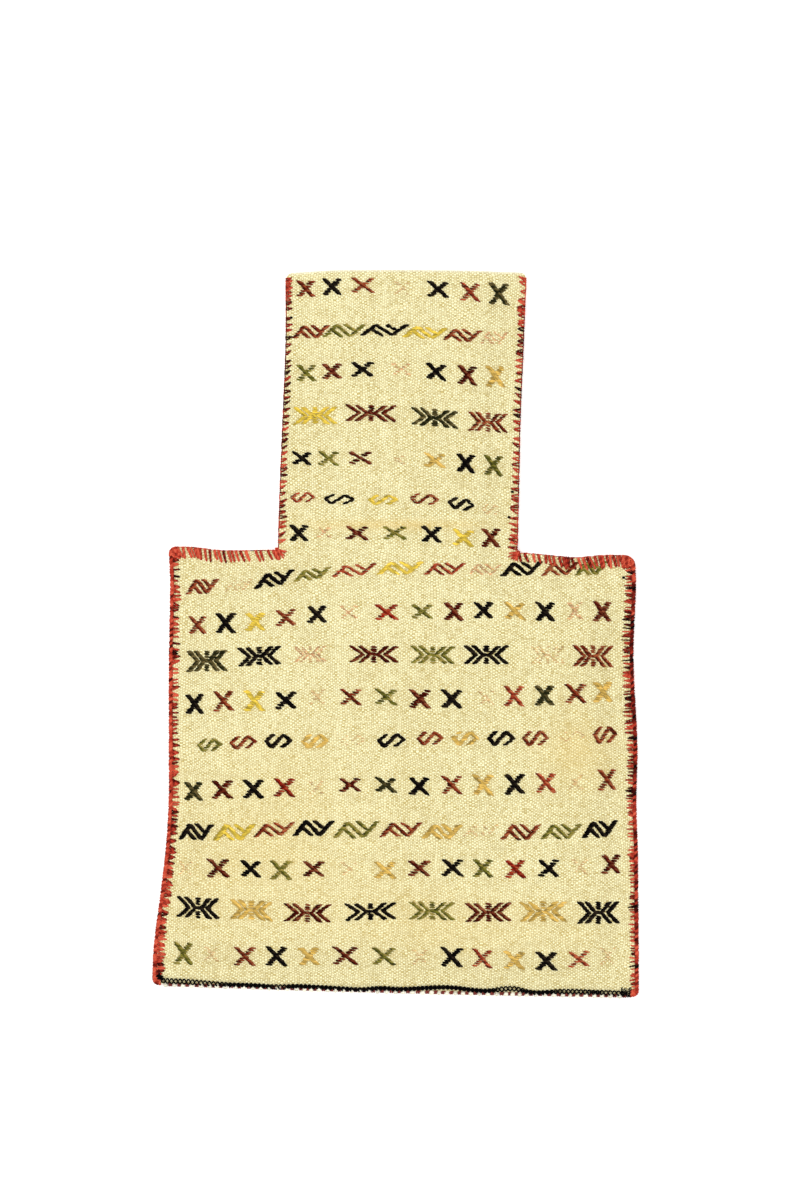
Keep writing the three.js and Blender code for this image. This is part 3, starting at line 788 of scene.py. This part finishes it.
def figures(tree):
    make = figureMake
    for number, (yarn, rows) in enumerate(figureRows().items()):
        x, y, slant, long, dye, fine = rows.T
        thick = figureThick[yarn] * fine
        points = np.column_stack((x, y, frontTop(x, y) + make["lift"] * thick))
        name = "figures_" + yarn
        finish = yarnFinish(name, dyeStops(*figureDyes[yarn]), tone=make["tone"])
        size = np.column_stack((long * thick, thick * figureSlim.get(yarn, 1), thick))
        turn = surfaceTurn(x, y, slant)
        stitches = meshObject(name, points, attributes=dict(turn=turn, size=size, dye=dye))
        grow(stitches, tree, {
            "Length": make["length"] * mm, "Width": make["width"] * mm, "Height": make["height"] * mm,
            "Sides": make["sides"], "Rings": make["rings"], "Unevenness": make["unevenness"],
            "Seed": number, "Material": finish})
        place(stitches, "figure_wool")


yarns = yarnTree()
figures(stitchTree())
print("figures made")


# Edges

lineSteps = 60
cornerSteps = 12
halfCorner = cornerSteps // 2  # where one edge's yarn hands over to the next


def outerCorner(side, up):  # a rounded corner of the pouch, from its cross edge to its side edge
    edgeY = shoulderY if up > 0 else bottomY
    y = float(edgeY(pouchX(side, neckSections["y"][0] if up > 0 else pouchSections["y"][0])))
    x = float(pouchX(side, y))
    inward = 1 if side == "left" else -1
    radius = bag["drawnCorner"] if side == "right" and up > 0 else bag["cornerRadius"]
    crossX = x + inward * radius
    sideY = y - up * radius
    cross = np.array((crossX, float(edgeY(crossX))))
    flank = np.array((float(pouchX(side, sideY)), sideY))
    t = np.linspace(0, 1, cornerSteps + 1)[:, None]
    return (1 - t) ** 2 * cross + 2 * t * (1 - t) * np.array((x, y)) + t * t * flank


def edgeLine(edge, side):  # the bag's outer edge along one stretch, as plan points
    if edge == "neck":
        foot = neckSections[side][0]
        y = np.linspace(mouthY(neckSections[side][-1]) - bag["bareLip"], shoulderY(foot), lineSteps)
        return np.column_stack((neckX(side, y), y))
    if edge == "shoulder":
        corner = outerCorner(side, 1)
        x = np.linspace(neckSections[side][0], corner[0, 0], lineSteps)[:-1]
        return np.concatenate((np.column_stack((x, shoulderY(x))), corner[:halfCorner + 1]))
    if edge == "side":
        upper = outerCorner(side, 1)
        lower = outerCorner(side, -1)[::-1]
        y = np.linspace(upper[-1, 1], lower[0, 1], lineSteps)[1:-1]
        flank = np.column_stack((pouchX(side, y), y))
        return np.concatenate((upper[halfCorner:], flank, lower[:halfCorner + 1]))
    left = outerCorner("left", -1)[::-1]
    right = outerCorner("right", -1)
    x = np.linspace(left[-1, 0], right[0, 0], lineSteps)[1:-1]
    foot = np.column_stack((x, bottomY(x)))
    return np.concatenate((left[halfCorner:], foot, right[:halfCorner + 1]))


class Edge:  # a stretch of edge, with its places and inward directions by length
    def __init__(self, edge, side):
        line = edgeLine(edge, side)
        steps = np.linalg.norm(np.diff(line, axis=0), axis=1)
        self.line = line
        self.lengths = np.concatenate(([0], np.cumsum(steps)))
        self.length = self.lengths[-1]
        tangent = np.gradient(line, self.lengths, axis=0)
        tangent /= np.linalg.norm(tangent, axis=1)[:, None]
        turn = -1 if side == "right" else 1
        self.inward = turn * np.column_stack((-tangent[:, 1], tangent[:, 0]))
        self.turn = turn

    def at(self, s):
        place = [np.interp(s, self.lengths, self.line[:, k]) for k in (0, 1)]
        inward = np.array([np.interp(s, self.lengths, self.inward[:, k]) for k in (0, 1)])
        return np.stack(place, axis=-1), np.moveaxis(inward / np.linalg.norm(inward, axis=0), 0, -1)

    def forward(self, s):
        inward = self.at(s)[1]
        return self.turn * np.array((inward[1], -inward[0]))


class Strands:  # yarn lines gathered for one piece
    def __init__(self):
        self.points = []
        self.edges = []
        self.held = {key: [] for key in ("thick", "loose", "coil", "dye", "shade")}

    def add(self, points, thick, dye, shade, loose=1, coil=1):
        first = len(self.points)
        self.points.extend(np.asarray(points, float).tolist())
        self.edges.extend((first + i, first + i + 1) for i in range(len(points) - 1))
        for held, value in zip(self.held.values(), (thick, loose, coil, dye, shade)):
            held.extend(np.broadcast_to(value, len(points)).tolist())

    def make(self, name, finish, yarn):
        lines = meshObject(name, self.points, edges=self.edges, attributes=self.held)
        return grow(lines, yarns, {
            "Ply radius": yarn["ply"] * mm, "Ply spread": yarn["spread"] * mm,
            "Twist length": yarn["twist"] * mm, "Step": yarn["step"] * mm, "Sides": yarn["sides"],
            "Unevenness": yarn["unevenness"], "Seed": yarn["seed"], "Material": finish})


# A stitch over the edge: shares of the way from its hole to the rim, and its rise there in yarn radii
wrapMake = dict(near=1.9, clear=0.15, floorClear=0.1, topRise=0.1, edgeIn=0.9, backLift=0.3,
                face=dict(share=(0, 0.14, 0.42, 0.75, 1), rise=(-0.7, 0.2, 0.45, 0.5, 0.55)),
                back=dict(share=(1, 0.6, 0.2, 0), rise=(0.6, 0.8, 0.5, -0.6)))


def wrapPath(rim, inward, tip, radius):  # one stitch, from its hole over the edge and through from the back
    make = wrapMake
    topZ = frontMargin + bag["panelWall"]
    backZ = backMargin
    near = rim + inward * make["near"]
    turn = rim + inward * (radius + make["clear"])
    points = []
    for share, rise in zip(make["face"]["share"], make["face"]["rise"]):
        x, y = tip + (near - tip) * share
        points.append((x, y, frontTop(x, y) + rise * radius))
    points.append((*turn, topZ + make["topRise"] * radius))
    points.append((*(rim + inward * radius * make["edgeIn"]), (topZ + backZ) / 2))
    points.append((*turn, backZ + make["backLift"]))
    for share, rise in zip(make["back"]["share"], make["back"]["rise"]):
        x, y = tip + (near - tip) * share
        points.append((x, y, max(backUnder(x, y) - rise * radius, radius + make["floorClear"])))
    return np.array(points)


def wrapTaper(tip):  # thickness at each point of a stitch, which narrows to its hole
    return np.interp(range(12), (0, 1, 2, 3, 9, 10, 11), (tip, (1 + tip) / 2, 0.97, 1.04, 1, 0.9, 0.6))


bindingYarn = dict(ply=0.5, spread=0.36, twist=3.6, step=0.8, sides=5, unevenness=0.35, seed=1.0)
yarnRadius = bindingYarn["ply"] + bindingYarn["spread"]

# How each stretch of edge is sewn, by share of its length from its upper or inner end: pitch and reach of
# the stitches, their tone and the bead's. Lean is the holes' shift along the edge, stray the change of tone
# from stitch to stitch, tip a stitch's thickness at its hole, bead the radius of the yarn along the rim,
# and dark lists the heights of black stitches.
edgeMake = dict(
    neckLeft=dict(
        at=(0, 0.07, 0.1, 0.75, 1), pitch=(1.9, 1.9, 4.4, 4.2, 3.2), reach=(5.6, 5.4, 5.4, 5.6, 7),
        tone=(0.22, 0.28, 0.64, 0.57, 0.26), beadTone=(0.2, 0.25, 0.7, 0.66, 0.3), lean=(-2.8, -0.3),
        stray=0.2, strands=(2, 2), fan=1.5, thick=0.88, tip=0.35, bead=0.5, beadZ=5.6,
        dark=(234.5, 218, 193), beadDark=()),
    neckRight=dict(
        at=(0, 0.03, 0.05, 0.08, 0.12, 0.16, 0.75, 1), pitch=(2.0, 6, 6, 2.0, 2.2, 4.8, 4.4, 3.2),
        reach=(5.8, 5.8, 5, 6.4, 6.4, 6, 6, 7.6), tone=(0.16, 0.2, 0.25, 0.22, 0.26, 0.6, 0.54, 0.24),
        beadTone=(0.15, 0.25, 0.3, 0.25, 0.3, 0.66, 0.62, 0.25), lean=(-2.2, 0.6), stray=0.2,
        strands=(2, 2), fan=1.8, thick=0.92, tip=0.35, bead=0.5, beadZ=5.6,
        dark=(225.6, 203.7, 180.5, 160.6), beadDark=()),
    shoulderLeft=dict(
        at=(0, 0.1, 0.8, 0.9, 1), pitch=(2.8, 3.3, 3.2, 2.5, 1.9), reach=(7.6, 9, 9.2, 8.6, 8),
        tone=(0.24, 0.28, 0.28, 0.24, 0.2), beadTone=(0.3, 0.3, 0.3, 0.2, 0.1), lean=(-3.4, -1.4),
        stray=0.22, strands=(1, 1), fan=0, thick=1.36, tip=0.8, bead=0.6, beadZ=5.2, dark=(), beadDark=()),
    shoulderRight=dict(
        at=(0, 0.25, 0.5, 0.85, 1), pitch=(3.2, 3.7, 3.2, 2.6, 1.9), reach=(6.8, 7.4, 9.6, 10.2, 9),
        tone=(0.22, 0.25, 0.23, 0.19, 0.17), beadTone=(0.3, 0.3, 0.3, 0.15, 0.1), lean=(0.8, 3.2),
        stray=0.22, strands=(1, 1), fan=0, thick=1.45, tip=0.8, bead=0.6, beadZ=5.2, dark=(), beadDark=()),
    sideLeft=dict(
        at=(0, 0.03, 0.35, 0.55, 0.8, 0.97, 1), pitch=(1.8, 3.1, 3.1, 3.0, 2.6, 2.7, 2.0),
        reach=(7, 7.9, 7.8, 7.6, 8, 9.3, 5.6), tone=(0.16, 0.38, 0.38, 0.38, 0.36, 0.32, 0.12),
        beadTone=(0.15, 0.28, 0.28, 0.27, 0.24, 0.22, 0.15), lean=(-1.4, 1.4), stray=0.22,
        strands=(1, 2), fan=2.6, thick=1.16, tip=0.8, bead=1.72, beadZ=6.0, dark=(41.5, 37.5, -14, -255),
        beadDark=()),
    sideRight=dict(
        at=(0, 0.03, 0.08, 0.3, 0.45, 0.6, 0.97, 1), pitch=(1.8, 2.4, 2.4, 2.4, 2.4, 2.6, 2.6, 2.0),
        reach=(7, 8.2, 9.3, 9.5, 8.9, 7.7, 7.5, 5.6), tone=(0.16, 0.35, 0.47, 0.51, 0.45, 0.39, 0.37, 0.17),
        beadTone=(0.1, 0.3, 0.62, 0.66, 0.6, 0.5, 0.46, 0.34), lean=(-1.1, 1.1), stray=0.2,
        strands=(1, 2), fan=1.6, thick=0.9, tip=0.35, bead=1.72, beadZ=6.0,
        dark=(44.5, 33.6, 8.9, 3.9, -18.9, -46.7, -77.9, -117, -203, -246),
        beadDark=(33.6, 31, 8.9, 3.9, -18.9, -46.7, -62.3, -77.9, -98, -117, -203, -246)),
)
# What all the edges share: unsewn ends, how far hand sewing strays, and the black stitches
sewMake = dict(start=1.2, end=0.8, rimEnd=0.4, reachStray=(0.84, 1.1), pitchStray=0.24, rimStray=0.3,
               tipStray=0.4, thickStray=0.1, toneStray=0.08, palest=0, darkest=0.8, darkReach=1.5,
               darkDye=0.97, seed=11)
beadMake = dict(end=0.5, step=1.9, clear=0.15, wave=0.12, waveLength=9, wander=0.1, thickStray=0.06,
                toneStray=0.24, darkest=0.75, darkDye=0.92, coil=1.15)
innerFanMake = dict(degrees=(10, 26, 42, 58, 74, 88), turnStray=4, rimStart=0.3, rimBow=2.2, rimStray=0.5,
                    reach=(6.8, 8.6), thick=0.95, thickStray=0.08, tip=0.6, dye=(0.1, 0.4))
outerFanMake = dict(upper=dict(reach=9.8, count=8), lower=dict(reach=5.4, count=6), aim=0.75,
                    reachStray=(0.86, 1.04), thick=1.2, thickStray=0.08, tip=0.75,
                    dyes=(0.12, 0.22, 0.32, 0.5))


def isDark(marks, y):
    return any(abs(y - mark) < sewMake["darkReach"] for mark in marks)


def uneven(make, random, count=None):  # hand-spun thickness about 1
    return 1 + make["thickStray"] * random.standard_normal(count)


def edgeStitches(edge, side, random):
    make = edgeMake[edge + side.title()]
    run = Edge(edge, side)
    strands = Strands()

    def sewn(column, s):
        return np.interp(s / run.length, make["at"], make[column])

    s = sewMake["start"]
    while s < run.length - sewMake["end"]:
        hole, inward = run.at(s)
        reach = sewn("reach", s) * random.uniform(*sewMake["reachStray"])
        tip = hole + inward * reach + run.forward(s) * random.uniform(*make["lean"])
        count = random.integers(make["strands"][0], make["strands"][1] + 1)
        dark = isDark(make["dark"], hole[1])
        tone = sewn("tone", s) + make["stray"] * random.standard_normal()
        for k in range(count):
            base = s + make["fan"] * (k - (count - 1) / 2) / max(count - 1, 1)
            base = base + random.uniform(-sewMake["rimStray"], sewMake["rimStray"])
            base = np.clip(base, sewMake["rimEnd"], run.length - sewMake["rimEnd"])
            rim, rimInward = run.at(base)
            thick = make["thick"] * uneven(sewMake, random)
            aim = tip + random.uniform(-sewMake["tipStray"], sewMake["tipStray"], 2)
            dye = sewMake["darkDye"]
            if not dark:
                dye = tone + sewMake["toneStray"] * random.standard_normal()
                dye = np.clip(dye, sewMake["palest"], sewMake["darkest"])
            path = wrapPath(rim, rimInward, aim, yarnRadius * thick)
            strands.add(path, thick * wrapTaper(make["tip"]), dye, random.random())
        s += sewn("pitch", s) * math.exp(sewMake["pitchStray"] * random.standard_normal())
    rimBead(strands, make, run, sewn, random)
    if edge == "shoulder":
        innerFan(strands, side, random)
        outerFan(strands, side, 1, random)
    if edge == "side":
        outerFan(strands, side, -1, random)
    return strands


def rimBead(strands, make, run, sewn, random):  # the yarn that the stitches catch along the rim
    bead = beadMake
    along = np.linspace(bead["end"], run.length - bead["end"], math.ceil(run.length / bead["step"]))
    count = len(along)
    rim, inward = run.at(along)
    wander = bead["wander"] * random.standard_normal(count)
    wave = bead["wave"] * np.sin(along * fullTurn / bead["waveLength"]) + wander
    line = rim + inward * (make["bead"] + bead["clear"] + wave)[:, None]
    tones = sewn("beadTone", along) + bead["toneStray"] * random.standard_normal(count)
    dark = [isDark(make["beadDark"], y) for y in line[:, 1]]
    tones = np.where(dark, bead["darkDye"], np.clip(tones, 0, bead["darkest"]))
    thick = make["bead"] / yarnRadius * uneven(bead, random, count)
    path = np.column_stack((line, np.full(count, make["beadZ"])))
    strands.add(path, thick, tones, 0.5, coil=bead["coil"])


def innerFan(strands, side, random):  # stitches that spread from where the neck meets the pouch
    make = innerFanMake
    x = neckSections[side][0]
    corner = np.array((x, float(shoulderY(x))))
    inward = 1 if side == "left" else -1
    for degrees in make["degrees"]:
        angle = math.radians(degrees + random.uniform(-make["turnStray"], make["turnStray"]))
        way = np.array((inward * math.cos(angle), -math.sin(angle)))
        rim = corner + way * (make["rimStart"] - make["rimBow"] * math.sin(2 * angle))
        rim = rim + random.uniform(-make["rimStray"], make["rimStray"], 2)
        tip = corner + way * random.uniform(*make["reach"])
        thick = make["thick"] * uneven(make, random)
        path = wrapPath(rim, way, tip, yarnRadius * thick)
        strands.add(path, thick * wrapTaper(make["tip"]), random.uniform(*make["dye"]), random.random())


def outerFan(strands, side, up, random):  # close stitches round an outer corner of the pouch
    make = outerFanMake
    line = outerCorner(side, up)
    fan = make["upper"] if up > 0 else make["lower"]
    inward = 1 if side == "left" else -1
    aim = line[halfCorner] + np.array((inward, -up)) * fan["reach"] * make["aim"]
    for share in np.linspace(0, len(line) - 1, fan["count"]):
        rim = np.array([np.interp(share, range(len(line)), line[:, k]) for k in (0, 1)])
        way = (aim - rim) / np.linalg.norm(aim - rim)
        tip = rim + way * fan["reach"] * random.uniform(*make["reachStray"])
        thick = make["thick"] * uneven(make, random)
        path = wrapPath(rim, way, tip, yarnRadius * thick)
        strands.add(path, thick * wrapTaper(make["tip"]), random.choice(make["dyes"]), random.random())


binding = yarnFinish("binding_wool", bindingDyes, plyTone=0.22)
random = np.random.default_rng(sewMake["seed"])
for edge in ("neck", "shoulder", "side"):
    for side in ("left", "right"):
        strands = edgeStitches(edge, side, random)
        piece = strands.make(f"{edge}_stitches_{side}", binding, bindingYarn)
        place(piece, "binding_wool", f"{edge}_binding_{side}")
print("edges made")


# Foot: black braid over whipped edging
braidYarn = dict(ply=0.64, spread=1.3, twist=6.2, step=0.6, sides=7, unevenness=0.35, seed=1.0)
# Lead is where its left end starts, and bundle where stitches bind its right end, from the corner
braidMake = dict(z=6.9, ends=9, steps=160, lead=(-4.4, 4.6, 0), dye=linear(9, 7, 7), seed=31,
                 thin=0.1, loosen=0.5, core=0.9, coreThin=1.7, coreLeast=0.05,
                 bundle=(5.5, 7.2, 8.9, 10.6, 12.2), bundleReach=7.6, bundleStray=(0.85, 1.05),
                 bundleShift=(0.2, 1.6), bundleYarn=0.95, bundleLift=1.1, bundleTip=0.7, bundleCoil=0.6)
braidRun = dict(  # how far the braid wanders in from the foot's edge
    x=(-171, -155, -129.5, -104.5, -87.5, -72, -47.5, -25.5, -12, 3.5, 38, 65.5, 86.5, 102, 123, 144.5, 164),
    inset=(3.9, 3.7, 2.6, 2.6, 2, 3, 2.5, 1.9, 3.3, 3, 5.1, 3.1, 5.1, 2.5, 3.6, 3.5, 3))
braidLoose = (  # stretches where the braid's two strands stand apart
    dict(x=-153, half=24, share=1), dict(x=-86, half=5, share=0.8), dict(x=84, half=9, share=0.8),
    dict(x=132, half=14, share=0.6), dict(x=160, half=8, share=0.9),
)
edgingMake = dict(start=7.5, end=14, pitch=6.2, pitchStray=0.13, reach=2.9, tip=0.6, thickStray=0.08,
                  leanStray=(0.6, 1.3), seed=23)
edgingRepeat = (  # one white stitch and two brick ones
    dict(at=1.5, dye=0, thick=2.05, lean=0.8, tuck=-1.3),
    dict(at=4.0, dye=0.85, thick=0.95, lean=1.0, tuck=-0.5),
    dict(at=5.3, dye=0.85, thick=0.95, lean=1.0, tuck=-0.5),
)
edgingDyes = [(0, linear(251, 246, 224)), (0.4, linear(246, 236, 208)), (0.6, linear(158, 84, 74)),
              (1, linear(116, 46, 40))]


def bottomBraid(random):
    make = braidMake
    strands = Strands()
    low = bottomY(0) + braidRun["inset"][0]
    x = np.linspace(pouchX("left", low) + make["ends"], pouchX("right", low) - make["ends"], make["steps"])
    y = bottomY(x) + through(braidRun, "x", "inset", x)
    apart = sum(gap["share"] * np.exp(-(((x - gap["x"]) / gap["half"]) ** 4)) for gap in braidLoose)
    line = np.column_stack((x, y, np.full(len(x), make["z"])))
    lead = line[0] + np.array(make["lead"])  # its end comes in from the left side's last black stitch
    path = np.concatenate((np.linspace(lead, line[0], 4)[:-1], line))
    apart = np.concatenate((np.zeros(3), apart))
    core = np.clip(1 - make["coreThin"] * apart, make["coreLeast"], make["core"])
    strands.add(path, 1 - make["thin"] * apart, 0, 0.5, 1 + make["loosen"] * apart)
    strands.add(path, core, 0, 0.5, 0)  # it fills the closed stretches
    run = Edge("bottom", "left")
    size = make["bundleYarn"] / (braidYarn["ply"] + braidYarn["spread"])
    for back in make["bundle"]:  # its other end is bound round the right corner
        rim, inward = run.at(run.length - back)
        reach = inward * make["bundleReach"] * random.uniform(*make["bundleStray"])
        tip = rim + reach + (random.uniform(*make["bundleShift"]), 0)
        path = wrapPath(rim, inward, tip, braidYarn["ply"] * make["bundleLift"])
        strands.add(path, size * wrapTaper(make["bundleTip"]), 0, random.random(), coil=make["bundleCoil"])
    finish = yarnFinish("braid_wool", [(0, make["dye"]), (1, make["dye"])])
    return place(strands.make("braid", finish, braidYarn), "braid_wool", "bottom_braid")


def bottomEdging(random):  # white and brick stitches over the foot
    make = edgingMake
    run = Edge("bottom", "left")
    whip = Strands()
    s = make["start"]
    while s < run.length - make["end"]:
        size = 1 + make["pitchStray"] * random.standard_normal()
        for stitch in edgingRepeat:
            rim, inward = run.at(s + stitch["at"] * size)
            rim = rim + inward * stitch["tuck"]
            thick = stitch["thick"] * uneven(make, random)
            lean = run.forward(s) * stitch["lean"] * random.uniform(*make["leanStray"])
            tip = rim + inward * make["reach"] + lean
            path = wrapPath(rim, inward, tip, yarnRadius * thick)
            whip.add(path, thick * wrapTaper(make["tip"]), stitch["dye"], random.random())
        s += make["pitch"] * size
    finish = yarnFinish("edging_wool", edgingDyes)
    return place(whip.make("edging", finish, bindingYarn), "edging_wool", "bottom_edging")


bottomBraid(np.random.default_rng(braidMake["seed"]))
bottomEdging(np.random.default_rng(edgingMake["seed"]))
print("foot made")


# Stage
stageLook = dict(floor=linear(247, 247, 246), floorHalf=2500, roughness=0.9, glow=0.3, room=0.66,
                 centre=(3.3, 24.5), cameraHeight=2500, frameHeight=890.8, sensor=36)
lights = (  # in metres, aimed at the bag's middle
    dict(name="key", energy=26, size=1.4, spot=(-0.8, 0.5, 1.9)),
    dict(name="fill", energy=17, size=1.6, spot=(1.2, -0.8, 1.7)),
)


def stage():
    look = stageLook
    half = look["floorHalf"]
    corners = [(-half, -half, 0), (half, -half, 0), (half, half, 0), (-half, half, 0)]
    floor = meshObject("floor", corners, faces=[(0, 1, 2, 3)])
    finish, net = newFinish("pale_floor")
    surface = net.add("ShaderNodeBsdfPrincipled", sockets={
        "Base Color": (*look["floor"], 1), "Roughness": look["roughness"],
        "Emission Color": (1, 1, 1, 1), "Emission Strength": look["glow"]})
    net.add("ShaderNodeOutputMaterial", sockets={"Surface": surface})
    floor.data.materials.append(finish)
    scene = bpy.context.scene
    world = bpy.data.worlds.new("soft room")
    world.use_nodes = True
    room = world.node_tree.nodes["Background"].inputs
    room["Color"].default_value = (1, 1, 1, 1)
    room["Strength"].default_value = look["room"]
    scene.world = world
    scene.view_settings.view_transform = "Standard"
    for make in lights:
        light = bpy.data.objects.new(make["name"], bpy.data.lights.new(make["name"], "AREA"))
        light.data.energy = make["energy"]
        light.data.size = make["size"]
        light.location = make["spot"]
        light.rotation_euler = (-Vector(make["spot"])).to_track_quat("-Z", "Y").to_euler()
        scene.collection.objects.link(light)
    camera = bpy.data.objects.new("camera", bpy.data.cameras.new("camera"))
    camera.data.sensor_fit = "VERTICAL"
    camera.data.sensor_height = look["sensor"]
    camera.data.lens = look["sensor"] * look["cameraHeight"] / look["frameHeight"]
    camera.location = (look["centre"][0] * mm, look["centre"][1] * mm, look["cameraHeight"] * mm)
    scene.collection.objects.link(camera)
    scene.camera = camera


stage()
print("stage set")
